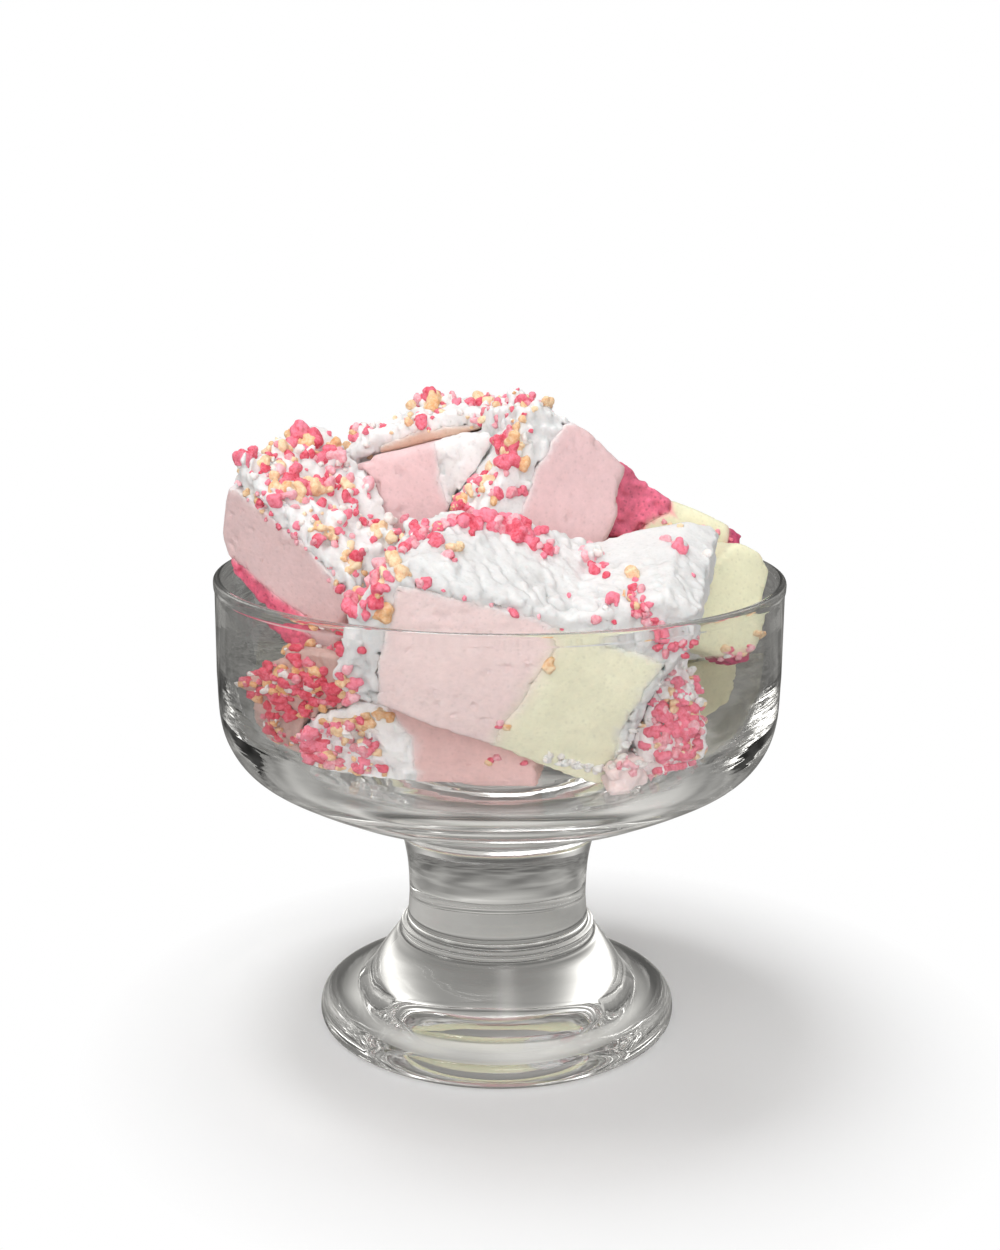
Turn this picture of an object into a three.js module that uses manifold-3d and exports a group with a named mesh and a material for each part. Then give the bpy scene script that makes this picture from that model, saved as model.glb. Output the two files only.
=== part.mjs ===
// A footed glass bowl heaped with broken chunks of freeze-dried ice cream candy. Millimetres, +Z up, the
// foot stands on z = 0 and the bowl's axis is the Z axis. Each chunk is a slice of a coated bar: its layers
// run through it from the cut face that shows to the far side, and cake crumbs stick to its coat.
import * as THREE from 'three';
import { mergeVertices } from 'three/addons/utils/BufferGeometryUtils.js';
import Module from 'manifold-3d';

const wasm = await Module();
wasm.setup();

// ---- driving dimensions -------------------------------------------------------------------------------
const RIM_RADIUS = 52.5;
const HEIGHT = 87.7;
const FOOT_RADIUS = 34;
const STEM_RADIUS = 17;
const FLOOR = 51;             // height of the floor inside the bowl
const WALL = 1.9;             // thickness of the bowl's wall
const BEAD = 2.3;             // height of the thicker bead round the rim
const SEGMENTS = 32;          // facets round the bowl
const GAP = 0.3;              // clearance between pieces that touch
const CUT_EDGE = 0.9;         // rounding of a chunk's edges
const PITCH = 11;             // longest straight stretch of a chunk's outline
const STEP = 13;              // longest stretch along its depth
const SKIN = 5;               // depth over which the swell grows behind the cut face
const CRUMB_SIZE = 1.5;       // smallest radius of a fused crumb
const CRUMB_SPREAD = 1.1;     // how much larger the largest one is
const CRUMB_SHAPE = [1, 0.85, 0.9];

const COLOURS = {
  glass: 0xdfe5e2,
  coat: 0xf7f4f2,
  pink: 0xe9c9c9,
  cream: 0xebe8c6,
  berry: 0xb8406c,
};
const GLASS_ROUGHNESS = 0.05;
const CANDY_ROUGHNESS = 0.9;

// ---- closed meshes and booleans -----------------------------------------------------------------------
function merged(geometry) {
  const bare = geometry.clone();
  bare.deleteAttribute('normal');
  bare.deleteAttribute('uv');
  return mergeVertices(bare, 1e-4);
}

function toSolid(geometry) {
  const shell = merged(geometry);
  return new wasm.Manifold(new wasm.Mesh({
    numProp: 3,
    vertProperties: new Float32Array(shell.attributes.position.array),
    triVerts: new Uint32Array(shell.index.array),
  }));
}

// A copy of the geometry with every face moved outwards by `grow`.
function inflated(geometry, grow) {
  const shell = merged(geometry);
  const { position } = shell.attributes;
  const corners = shell.index.array;
  const normals = Array.from({ length: position.count }, () => []);
  const triangle = new THREE.Triangle();
  for (let i = 0; i < corners.length; i += 3) {
    triangle.setFromAttributeAndIndices(position, corners[i], corners[i + 1], corners[i + 2]);
    const normal = triangle.getNormal(new THREE.Vector3());
    corners.slice(i, i + 3).forEach((corner) => normals[corner].push(normal));
  }
  const point = new THREE.Vector3();
  normals.forEach((faces, i) => {
    const out = faces.reduce((sum, normal) => sum.add(normal), new THREE.Vector3()).normalize();
    const least = Math.min(...faces.map((normal) => normal.dot(out)));
    point.fromBufferAttribute(position, i).addScaledVector(out, grow / Math.max(0.3, least));
    position.setXYZ(i, point.x, point.y, point.z);
  });
  return shell;
}

function toGeometry(solid) {
  const mesh = solid.getMesh();
  const geometry = new THREE.BufferGeometry();
  geometry.setAttribute('position', new THREE.BufferAttribute(mesh.vertProperties, 3));
  geometry.setIndex(new THREE.BufferAttribute(mesh.triVerts, 1));
  return geometry;
}

// The largest of the bodies a cut leaves; the loose scraps are dropped.
function largest(solid) {
  const bodies = solid.decompose();
  bodies.sort((a, b) => b.volume() - a.volume());
  return bodies[0];
}

function boxesMeet(a, b) {
  const p = a.boundingBox();
  const q = b.boundingBox();
  return [0, 1, 2].every((i) => p.min[i] <= q.max[i] && q.min[i] <= p.max[i]);
}

function cutBy(solid, others) {
  let rest = solid;
  for (const other of others) {
    if (boxesMeet(rest, other)) rest = rest.subtract(other);
  }
  return rest;
}

// ---- the glass ----------------------------------------------------------------------------------------
function sweep(keys, count) {
  return new THREE.SplineCurve(keys.map(([r, z]) => new THREE.Vector2(r, z))).getPoints(count);
}

function lathe(profile) {
  return toSolid(new THREE.LatheGeometry(profile, SEGMENTS).rotateX(Math.PI / 2));
}

function straight(keys) {
  return keys.map(([x, y]) => new THREE.Vector2(x, y));
}

// Inside of the bowl from the middle of its floor to just under the bead, shrunk by `clear`.
function innerWall(clear) {
  const wallRadius = RIM_RADIUS - WALL;
  const wall = sweep([[0, FLOOR], [28, FLOOR + 0.1], [38.5, FLOOR + 1.3], [45, FLOOR + 5],
    [48.6, FLOOR + 11], [wallRadius - 0.5, FLOOR + 19], [wallRadius, HEIGHT - BEAD - 1]], 7);
  wall.forEach((point) => {
    point.x = Math.max(0, point.x - clear);
    point.y += clear;
  });
  return wall;
}

function glassBowl() {
  const underside = sweep([[0, 2.8], [14, 2.3], [26, 0.5]], 3);
  const foot = sweep([[32.6, 0], [FOOT_RADIUS, 1.1], [FOOT_RADIUS + 0.2, 3], [33.4, 4.7], [30.5, 5.8]], 4);
  const dome = sweep([[27.4, 6.5], [24.9, 9.2], [22.7, 12.4], [20.4, 15.6], [19.3, 17.2]], 4);
  const rings = straight([[18.5, 18], [18.5, 19], [17.6, 19.6]]);
  const stem = sweep([[STEM_RADIUS + 0.2, 21.8], [STEM_RADIUS, 26], [STEM_RADIUS + 0.5, 33],
    [19.2, 38.5], [23.5, 41.9], [28.2, 44]], 5);
  const under = sweep([[36, 46.6], [42.4, 49.8], [47.4, 53], [50.4, 57], [51.9, 62],
    [RIM_RADIUS - 0.2, 70]], 5);
  const bead = sweep([[RIM_RADIUS - 0.25, HEIGHT - BEAD], [RIM_RADIUS, HEIGHT - 0.9],
    [RIM_RADIUS - 1.1, HEIGHT], [RIM_RADIUS - 2.1, HEIGHT - 0.9]], 3);
  const inside = innerWall(0).reverse();
  const flat = straight([[27.5, 0]]);
  return lathe([...underside, ...flat, ...foot, ...dome, ...rings, ...stem, ...under, ...bead, ...inside]);
}

// All the space that candy may fill: the bowl's hollow less the gap, and the open space above the rim.
function candyRoom() {
  const inside = innerWall(GAP);
  inside[0].x = 0;
  const mouth = straight([[RIM_RADIUS - 2.6, HEIGHT - BEAD], [RIM_RADIUS - 2.6, HEIGHT + 0.2],
    [RIM_RADIUS - 1.6, HEIGHT + GAP + 0.1], [RIM_RADIUS + 10, HEIGHT + 2.2]]);
  const above = straight([[RIM_RADIUS + 10, 150], [0, 150]]);
  return lathe([...inside, ...mouth, ...above]);
}

// ---- a chunk ------------------------------------------------------------------------------------------
// A chunk's own frame: u to the right on its cut face, v up it, and w out of the face towards the viewer of
// that face. `at` is where u = v = w = 0 lies, `yaw` turns the face about Z and `tilt` turns it upwards.
function placing(chunk) {
  const turn = new THREE.Matrix4().makeRotationZ(THREE.MathUtils.degToRad(chunk.yaw));
  const lift = new THREE.Matrix4().makeRotationX(THREE.MathUtils.degToRad(90 - chunk.tilt));
  return new THREE.Matrix4().makeTranslation(...chunk.at).multiply(turn).multiply(lift);
}

// Broken candy is never quite flat: a smooth swell that pushes a point about by up to `lump`, less along w
// on the cut face itself.
function swell(chunk, u, v, w) {
  const a = chunk.lump;
  const sides = 0.35 + 0.65 * THREE.MathUtils.clamp(-w / SKIN, 0, 1);
  return [
    u + a * sides * (0.7 * Math.sin(0.45 * v + 0.38 * w + chunk.yaw) + 0.5 * Math.sin(0.83 * w - 0.5 * v)),
    v + a * sides * (0.7 * Math.sin(0.41 * u - 0.36 * w + chunk.tilt) + 0.5 * Math.sin(0.79 * w + 0.52 * u)),
    w + a * 0.3 * Math.sin(0.33 * u + 0.4 * v),
  ];
}

// Depth of the chunk behind (u, v) on its face: the far side may be slanted (`slope`) and domed (`bow`).
function depthAt(chunk, u, v) {
  const [slopeU, slopeV] = chunk.slope ?? [0, 0];
  return chunk.depth + slopeU * u + slopeV * v - (chunk.bow ?? 0) * (u * u + v * v);
}

// Local place of a point at the share `t` of `depth` behind (u, v) on the face; `lean` is how far the far
// side lies off to one side.
function within(chunk, u, v, t, depth) {
  const [leanU, leanV] = chunk.lean ?? [0, 0];
  return swell(chunk, u + leanU * t, v + leanV * t, -t * depth);
}

// The outline with its long edges divided, so that the swell can bend them.
function divided(outline) {
  const points = [];
  outline.forEach(([x, y], i) => {
    const [qx, qy] = outline[(i + 1) % outline.length];
    const parts = Math.max(1, Math.round(Math.hypot(qx - x, qy - y) / PITCH));
    for (let k = 0; k < parts; k += 1) points.push([x + (qx - x) * k / parts, y + (qy - y) * k / parts]);
  });
  return points;
}

// A closed prism on `outline` in the chunk's frame, placed where the chunk lies. It runs from the share
// `near` to the share `far` of the depth that `depthOf` gives, with its edges rounded by `edge`.
function prism(chunk, outline, near, far, edge, depthOf) {
  const shape = new THREE.Shape(straight(outline));
  const thick = chunk.depth * (far - near);
  const geometry = new THREE.ExtrudeGeometry(shape, {
    depth: thick - 2 * edge,
    steps: Math.max(1, Math.round(thick / STEP)),
    bevelEnabled: edge > 0,
    bevelThickness: edge,
    bevelSize: edge,
    bevelOffset: -edge,
    bevelSegments: 1,
  });
  const place = placing(chunk);
  const position = geometry.attributes.position;
  const point = new THREE.Vector3();
  for (let i = 0; i < position.count; i += 1) {
    point.fromBufferAttribute(position, i);
    const t = near + (thick - edge - point.z) / chunk.depth;
    const depth = depthOf(chunk, point.x, point.y);
    point.set(...within(chunk, point.x, point.y, t, depth)).applyMatrix4(place);
    position.setXYZ(i, point.x, point.y, point.z);
  }
  return geometry;
}

function chunkPrism(chunk) {
  return prism(chunk, divided(chunk.outline), 0, 1, CUT_EDGE, depthAt);
}

// A layer's own prism, straight through the chunk and well out of it on both sides.
function layerPrism(chunk, outline) {
  return prism(chunk, outline, -0.3, 1.6, 0, () => chunk.depth);
}

// Splits a chunk's body into its layers: the inner ones are cut out by their own prisms, each a gap away
// from the next, and the coat is what is left round them.
function layersOf(chunk, body) {
  const solids = {};
  let rest = body;
  for (const [layer, outline] of Object.entries(chunk.layers)) {
    const through = layerPrism(chunk, outline);
    solids[layer] = largest(rest.intersect(toSolid(through)));
    rest = rest.subtract(toSolid(inflated(through, GAP)));
  }
  if (chunk.outer) solids[chunk.outer] = largest(rest);
  return solids;
}

// ---- crumbs -------------------------------------------------------------------------------------------
const share = (k, step) => (0.5 + k * step) % 1;

// Evenly scattered places by an additive recurrence: along the outline's edges `from` to `to`, or over the
// cut face between two corners (`face`).
function crumbPlaces(chunk) {
  const places = [];
  for (const patch of chunk.crumbs ?? []) {
    for (let k = 1; k <= patch.count; k += 1) {
      const a = share(k, 0.7548776662);
      const b = share(k, 0.5698402910);
      const size = CRUMB_SIZE + CRUMB_SPREAD * share(k, 0.6180339887) ** 2;
      let uvt;
      if (patch.face) {
        const [[u0, v0], [u1, v1]] = patch.face;
        uvt = [u0 + (u1 - u0) * a, v0 + (v1 - v0) * b, -0.02];
      } else {
        const span = patch.to - patch.from;
        const along = patch.from + span * a;
        const i = Math.floor(along);
        const n = chunk.outline.length;
        const p = chunk.outline[i % n];
        const q = chunk.outline[(i + 1) % n];
        const f = along - i;
        uvt = [p[0] + (q[0] - p[0]) * f, p[1] + (q[1] - p[1]) * f, 0.04 + b * (patch.far ?? 0.92)];
      }
      places.push({ uvt, size, turn: k });
    }
  }
  return places;
}

function crumbSolid(chunk, place, grow) {
  const ball = new THREE.IcosahedronGeometry(place.size + grow, 0);
  ball.scale(...CRUMB_SHAPE);
  ball.rotateX(place.turn * 1.3).rotateZ(place.turn * 2.1);
  const [u, v, t] = place.uvt;
  const centre = new THREE.Vector3(...within(chunk, u, v, t, depthAt(chunk, u, v)));
  centre.applyMatrix4(placing(chunk));
  ball.translate(centre.x, centre.y, centre.z);
  return toSolid(ball);
}

// ---- the heap -----------------------------------------------------------------------------------------
// Outlines run anticlockwise. Inner layers may reach past the outline, which then ends them. A chunk that
// lies against an earlier one in this list gives way to it.
const CHUNKS = [
  {
    name: 'front', at: [-1.5, -41, 84], yaw: 6, tilt: -20, depth: 24, slope: [0.1, 0], lean: [9, 0],
    lump: 0.6, outer: 'coat',
    outline: [[21, -36], [22.5, -32], [24.5, -23], [26.5, -13], [29.5, -7], [34, -1], [34, 5], [28, 8],
      [20, 5.5], [12, 4.5], [4, 7], [-6, 10.2], [-15, 12.6], [-20, 10], [-22.5, 5.5], [-24, 0],
      [-25.5, -7], [-23, -10.5], [-17, -12.2], [-8, -18], [2.5, -23.5], [8, -27], [16, -33]],
    layers: {
      pink: [[0, -40], [1, -23], [3, -16], [6, -10], [9, -3], [11, 2], [4, 4.7], [-6, 7.6], [-15, 9.8],
        [-17.3, -2.5], [-18.5, -40]],
      cream: [[20.6, -40], [22.2, -23], [23.8, -15], [25.4, -9], [28.5, -4.5], [26, -2.6], [18, -0.6],
        [11, 2], [0, -10], [-1, -40]],
    },
    crumbs: [{ from: 11, to: 17, count: 14 }, { from: 7, to: 11, count: 4 }],
  },
  {
    name: 'left', at: [-37.5, -16, 92.5], yaw: -35, tilt: -15, depth: 24, slope: [-0.4, 0.1], bow: 0.018,
    lump: 0.5, outer: 'coat',
    outline: [[6.5, -17.6], [9.8, -11.4], [12.7, -7], [14.5, -3], [10.6, 1.2], [3.5, 9], [-4, 15],
      [-7.7, 17.2], [-10.2, 13.5], [-12.6, 10.2], [-15, 3.2], [-14.8, -4.5], [-9, -10], [-3.5, -14],
      [2, -16.8]],
    layers: {
      berry: [[5, -25], [5.4, -16.5], [2.9, -12], [-4.4, -8], [-10.3, -3.6], [-16, -0.6], [-25, -1],
        [-25, -25]],
      pink: [[20, -25], [16, -12], [12.1, -5], [4.3, 3], [-3, 8.6], [-8.5, 12], [-20, 12], [-25, -1],
        [-10, -20]],
    },
    crumbs: [{ from: 3.4, to: 7.6, count: 18 }],
  },
  {
    name: 'upper', at: [10.7, -13.5, 106.4], yaw: 20, tilt: 6, depth: 19, lump: 0.5, outer: 'coat',
    outline: [[6.6, -13.5], [8.4, -11.4], [11, -6.3], [11, -1.9], [12.8, 1.8], [6, 8], [2.1, 10.4],
      [-3.7, 14.4], [-7.5, 12.6], [-8.8, 5.4], [-12, 0.4], [-14.6, -2.8], [-16.4, -6.6], [-16, -9.8],
      [-8.6, -11], [0, -12.2]],
    layers: {
      pink: [[-9, -20], [20, -20], [20, 9], [6.2, 8.6], [1.2, 9.3], [-0.3, 8], [-3.6, 3], [-6.2, -2],
        [-8.6, -8]],
    },
    crumbs: [{ from: 7, to: 13, count: 12 }, { from: 13, to: 15, far: 0.3, count: 4 },
      { from: 5, to: 7, count: 3 }],
  },
  {
    name: 'wedge', at: [30, 2, 97], yaw: 12, tilt: 10, depth: 15, lump: 0.4,
    outline: [[-11.5, -2.5], [-6.5, -3.5], [-2, -7], [5.5, -9.5], [12.2, -9.4], [15, -6], [16, -3],
      [7.8, 1.2], [1.1, 4.4], [-5.8, 9.6], [-12, 14.6], [-14, 6]],
    layers: {
      berry: [[-20, -3], [-5, -3], [-3, -0.6], [1.6, 1.6], [2, 8], [-20, 25]],
      end: [[11.4, -12], [22, -12], [22, 2], [13.6, -1]],
      cream: [[-20, -20], [30, -20], [30, 20], [-20, 20]],
    },
  },
  {
    name: 'middle', at: [-14.2, -5, 103.7], yaw: -6, tilt: 4, depth: 15, lump: 0.4, outer: 'coat',
    outline: [[-5.8, -10.6], [1.8, -8], [9.1, -8.6], [14.4, -2], [15, 8], [11.7, 10.3], [1.8, 8.1],
      [-7.2, 5.8], [-13.6, 4.1], [-12.7, -0.2], [-8.7, -5.5]],
    layers: {
      pink: [[-20, -20], [7, -20], [5, -4], [2.6, 2], [1.2, 12], [-6, 12], [-9.5, 4.5], [-20, 2]],
    },
    crumbs: [{ from: 8.5, to: 10.8, count: 7 }],
  },
  {
    name: 'right', at: [42.5, -10, 84.2], yaw: 20, tilt: 6, depth: 11, lump: 0.35,
    outline: [[0.4, -9.5], [2, -9.6], [4.4, -4.9], [6.3, 1], [7.8, 4.9], [5.6, 8.3], [1.6, 10.6],
      [-1.2, 10], [-5.9, 5.8], [-9, 0.6], [-9.1, -5.1], [-4.2, -6.9]],
    layers: {
      berry: [[-8, -14], [8, -14], [8, -7.6], [-8, -7.6]],
      cream: [[-20, -20], [20, -20], [20, 20], [-20, 20]],
    },
  },
  {
    name: 'back', at: [-13, 7, 109.5], yaw: -6, tilt: -8, depth: 14, lump: 0.5, outer: 'coat',
    outline: [[-10, -7.9], [1.6, -6], [16.8, -5], [18, 5], [13, 7], [5, 7.4], [-1.6, 5.6], [-9.3, 2.8],
      [-16.4, -1], [-16, -6.4]],
    layers: { pink: [[-11, -20], [30, -20], [30, 3.6], [9.5, 4], [-1.8, 2.8], [-9.4, -0.2]] },
    crumbs: [{ from: 2.6, to: 9, count: 12 }],
  },
  {
    name: 'under', at: [24, -8, 90], yaw: 8, tilt: 8, depth: 12, lump: 0.4,
    outline: [[-7, -9], [9, -9], [10, 0], [2, 3.5], [-5, 5.5], [-8, 0]],
    layers: {
      berry: [[-20, -20], [-2, -20], [-1, 0], [-2, 20], [-20, 20]],
      cream: [[-20, -20], [20, -20], [20, 20], [-20, 20]],
    },
  },
  {
    name: 'lower', at: [-12, -27.5, 59.2], yaw: -4, tilt: 2, depth: 20, lump: 0.4, outer: 'coat',
    outline: [[-17.4, -7.4], [-5.2, -7.4], [8.6, -7.4], [19, -7.4], [18, 10.8], [-6, 11.2],
      [-13.7, 10.2], [-19.3, 7.5], [-22.4, 3.9], [-23, -0.5], [-22, -5.8]],
    layers: { pink: [[-2.3, -15], [40, -15], [40, 20], [-7, 20], [-6.6, 10.3], [-3, 3.6]] },
    crumbs: [{ from: 5.4, to: 10.8, count: 8 }, { face: [[-21, -6], [-9, 8]], count: 7 }],
  },
  {
    name: 'corner', at: [-36, -22, 69], yaw: -28, tilt: 0, depth: 16, lump: 0.5, outer: 'coat',
    outline: [[-7.5, -13], [0.6, -13.7], [10.2, -8], [10.4, 1.3], [10.7, 11], [1.4, 11], [-5.5, 6.2],
      [-8.3, 0.8], [-9.9, -6.8]],
    layers: {},
    crumbs: [{ face: [[-8, -11], [9, 9]], count: 11 }, { from: 4, to: 9, far: 0.6, count: 5 }],
  },
  {
    name: 'standing', at: [30.5, -26.5, 64.6], yaw: 10, tilt: 2, depth: 14, lump: 0.35, outer: 'coat',
    outline: [[-2.5, -12.1], [2.9, -12.9], [5.6, -12.4], [7, -10.3], [5.8, -2.1], [3.8, 6.9],
      [1.8, 14.4], [-4.6, 14.3], [-6.3, 7.4], [-7.3, -1.4], [-6.1, -10.1]],
    layers: {},
    crumbs: [{ face: [[-4.5, -11], [4.5, 12]], count: 9 }, { from: 2, to: 6, far: 0.7, count: 4 }],
  },
  {
    name: 'pale', at: [40, 10, 62], yaw: 16, tilt: 0, depth: 13, lump: 0.4,
    outline: [[-2.9, -8.8], [3.8, -8.8], [6.4, -2.5], [6, 9.2], [-7.5, 10.5], [-7.1, -5.5]],
    layers: { cream: [[-20, -20], [20, -20], [20, 20], [-20, 20]] },
  },
  {
    name: 'centre', at: [-17, -9, 81], yaw: -18, tilt: 22, depth: 20, lump: 0.5, outer: 'coat',
    outline: [[-11, -14], [4, -15], [14, -10], [14, 6], [8, 11], [-6, 12], [-13, 6], [-14, -6]],
    layers: {},
  },
  {
    name: 'rear', at: [1, 40, 73], yaw: 172, tilt: -18, depth: 20, lump: 0.5, outer: 'coat',
    outline: [[-22, -14], [-8, -20], [14, -20], [22, -9], [24, 5], [12, 12.5], [-8, 15], [-21, 9.5],
      [-24, -3]],
    layers: {
      pink: [[-17, -40], [4, -40], [3, -6], [7, 9.6], [-7, 11.6], [-16.5, 7]],
      cream: [[2, -40], [19, -40], [19, 3], [11, 9], [4, 9.6]],
    },
    crumbs: [{ from: 3.2, to: 8.8, count: 10 }],
  },
  {
    name: 'rear_top', at: [-9, 31, 97], yaw: 188, tilt: 14, depth: 15, lump: 0.5, outer: 'coat',
    outline: [[-13, -8], [3, -10], [14, -6], [15, 3], [6, 9], [-6, 10], [-14, 4]],
    layers: { pink: [[-10, -20], [30, -20], [11.5, 3], [5, 6.2], [-6, 7], [-10.5, 2.5]] },
    crumbs: [{ from: 2.6, to: 7, count: 7 }],
  },
  {
    name: 'rear_left', at: [-31, 29, 79], yaw: -138, tilt: 6, depth: 15, lump: 0.5, outer: 'coat',
    outline: [[-9, -19], [7, -20], [12, -5], [12, 9], [3, 16], [-8, 14], [-12, 2]],
    layers: {
      pink: [[-30, -6], [-4, -5], [6, -8], [16, -9], [30, 6], [9.4, 6], [2.4, 11], [-7, 9.5], [-9, 2]],
      cream: [[-30, -30], [30, -30], [30, -9], [6, -6], [-4, -3], [-30, -4]],
    },
    crumbs: [{ from: 2.6, to: 7, count: 7 }],
  },
  {
    name: 'rear_right', at: [33, 26, 75.5], yaw: 130, tilt: 0, depth: 14, lump: 0.5, outer: 'coat',
    outline: [[-9, -18], [8, -18], [13, -3], [11, 13], [-2, 18], [-12, 12], [-13, -4]],
    layers: {
      berry: [[-8.6, -40], [9, -40], [9.6, -8], [-9.8, -7]],
      cream: [[-9.8, -9], [9.6, -9], [9.4, 3], [7.4, 10], [-2, 14], [-8.6, 9]],
    },
    crumbs: [{ from: 2.2, to: 6, count: 8 }],
  },
  {
    name: 'rear_base', at: [-8, 24, 59.6], yaw: 176, tilt: 0, depth: 22, lump: 0.5, outer: 'coat',
    outline: [[-22, -7.5], [20, -7.5], [24, 0], [20, 8], [-20, 9], [-25, 2]],
    layers: { cream: [[-16, -20], [16, -20], [17, 4.5], [-16, 5]] },
  },
  {
    name: 'lump', at: [22, -33, 56.4], yaw: 8, tilt: 6, depth: 9, lump: 0.4, outer: 'coat',
    outline: [[-2.6, -4.6], [2.2, -4.6], [3.6, -1], [2.6, 3.6], [-1.6, 4.4], [-3.4, 1]],
    layers: {},
  },
];

// ---- putting it together ------------------------------------------------------------------------------
const group = new THREE.Group();

function addPiece(name, solid, colour, roughness) {
  const material = new THREE.MeshStandardMaterial({ color: colour, roughness, metalness: 0 });
  const mesh = new THREE.Mesh(toGeometry(solid), material);
  mesh.name = name;
  group.add(mesh);
}

const glass = glassBowl();
const room = candyRoom();
const bodies = [];
const taken = [];
for (const chunk of CHUNKS) {
  const whole = chunkPrism(chunk);
  bodies.push(largest(cutBy(toSolid(whole).intersect(room), taken)));
  taken.push(toSolid(inflated(whole, GAP)));
}

addPiece('glass_bowl', glass, COLOURS.glass, GLASS_ROUGHNESS);
CHUNKS.forEach((chunk, index) => {
  const solids = layersOf(chunk, bodies[index]);
  const others = [glass, ...bodies.filter((_, i) => i !== index)];
  const inner = Object.keys(solids).filter((layer) => layer !== chunk.outer).map((layer) => solids[layer]);
  for (const place of crumbPlaces(chunk)) {
    const clear = crumbSolid(chunk, place, GAP);
    const free = [...others, ...inner].every((o) => !boxesMeet(clear, o) || clear.intersect(o).isEmpty());
    const fused = solids[chunk.outer].add(crumbSolid(chunk, place, 0));
    if (free && fused.decompose().length === 1) solids[chunk.outer] = fused;
  }
  for (const [layer, solid] of Object.entries(solids)) {
    addPiece(`${chunk.name}_${layer}`, solid, COLOURS[layer] ?? COLOURS.berry, CANDY_ROUGHNESS);
  }
});

export default group;
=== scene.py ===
"""A footed glass bowl heaped with broken chunks of freeze-dried ice cream candy.

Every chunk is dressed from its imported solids: they become one distance field, which is roughened as
dried foam is, and is cut back into its layers. Crumbs stick to the coats. Lengths are in millimetres
until a mesh is made, and in metres in the studio.
"""
import math

import bmesh
import bpy
import numpy as np
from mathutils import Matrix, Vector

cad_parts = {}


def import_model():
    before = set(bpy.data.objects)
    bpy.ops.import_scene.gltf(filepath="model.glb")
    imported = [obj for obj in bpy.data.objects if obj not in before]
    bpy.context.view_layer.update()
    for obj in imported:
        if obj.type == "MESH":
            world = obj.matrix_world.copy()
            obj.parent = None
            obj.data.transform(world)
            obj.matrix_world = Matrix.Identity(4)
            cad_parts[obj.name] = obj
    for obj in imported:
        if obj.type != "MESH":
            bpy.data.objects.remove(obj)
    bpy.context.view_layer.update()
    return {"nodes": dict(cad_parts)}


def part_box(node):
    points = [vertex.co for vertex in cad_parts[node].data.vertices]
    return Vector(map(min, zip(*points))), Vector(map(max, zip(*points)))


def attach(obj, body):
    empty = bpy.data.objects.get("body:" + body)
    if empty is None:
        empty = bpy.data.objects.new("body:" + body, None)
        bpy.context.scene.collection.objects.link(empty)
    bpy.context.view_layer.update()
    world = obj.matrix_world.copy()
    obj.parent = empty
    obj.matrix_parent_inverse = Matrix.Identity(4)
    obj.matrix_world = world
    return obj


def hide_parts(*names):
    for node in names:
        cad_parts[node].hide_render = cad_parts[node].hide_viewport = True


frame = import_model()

import openvdb
from mathutils import Vector
from mathutils.bvhtree import BVHTree
from mathutils.kdtree import KDTree

MM = 0.001

# ---- the bowl's driving sizes, as the solid's ----
RIM_RADIUS = 52.5
HEIGHT = 87.7
FOOT_RADIUS = 34
STEM_RADIUS = 17
FLOOR = 51
WALL = 1.9
BEAD = 2.3
LATHE_STEPS = 160

# ---- the candy's fields ----
VOXEL = {"front": 0.36, "left": 0.40, "upper": 0.40, "centre": 0.75, "rear_base": 0.75, "rear": 0.62,
         "rear_top": 0.56, "rear_left": 0.58, "rear_right": 0.60}
VOXEL_ELSEWHERE = 0.44
FLATTEN = 0.10         # how far flat parts of a surface may be meshed with fewer, larger faces
BAND = 7               # half-width of the distance fields, in voxels
MARGIN = 2.0           # free room round a chunk's field
UNION = 0.15           # how softly the layers of a chunk run together
UNION_REACH = 4        # distances beyond this one make no difference to that
CLOSE = 0.17           # how far the layers grow so that the gaps between them close
LAP = 0.35             # how far a layer reaches under the one beside it
EDGE_RELIEF = 0.30     # the share of a layer's relief that is left where it meets the next layer
EDGE_FADE = 1.3        # the relief grows by its full height over this depth inside the layer
STEP_DOWN = 0.03       # how much lower each further layer's surface lies, so that no two coincide
OUTSIDE = 9            # a distance that stands for far away
DEEPEST = 0.8          # relief deeper than this gets no more painted shade
PAINTED_HOLLOW_SHADE = 0.22    # painted shade in creases and pits: how much darker each millimetre of relief makes the paint

# ---- colours, as sRGB ----
TONES = {
    "coat": (0.935, 0.932, 0.928),
    "pink": (0.915, 0.785, 0.788),
    "cream": (0.935, 0.925, 0.800),
    "berry": (0.820, 0.340, 0.480),
}
LAYER_ORDER = ["pink", "cream", "berry", "end", "coat"]   # each is painted over those before it
BLEND = {"cream": 1.0}   # how widely a layer's colour runs into those before it, in mm
BLEND_ELSEWHERE = 0.3
# Chunks whose paint differs from their kind's: partly their own colour, partly painted light and shade for
# where they lie.
CHUNK_TONES_AND_PAINTED_LIGHT = {
    # Painted light: the front pink and cream are painted lighter, to make up for light that they lack
    # under the glass.
    "front_pink": (0.975, 0.870, 0.870),
    "front_cream": (0.980, 0.975, 0.855),
    # Painted shade: the left, back and lower pinks are painted darker where they face away from the light
    # or lie under other chunks.
    "left_pink": (0.900, 0.785, 0.780),
    "back_pink": (0.835, 0.705, 0.625),
    "lower_pink": (0.915, 0.765, 0.750),
    "front_coat": (0.890, 0.887, 0.883),
    "lower_coat": (0.970, 0.965, 0.960),
    # Painted light: the standing coat, which lies in shade, is painted lighter. Painted shade: the corner
    # coat, in shade, is painted darker.
    "standing_coat": (0.985, 0.965, 0.960),
    "corner_coat": (0.800, 0.670, 0.635),
    "lump_coat": (0.960, 0.880, 0.870),
    "pale_cream": (0.820, 0.800, 0.680),
    "wedge_berry": (0.950, 0.490, 0.600),
    "left_berry": (0.975, 0.460, 0.570),
}
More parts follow.
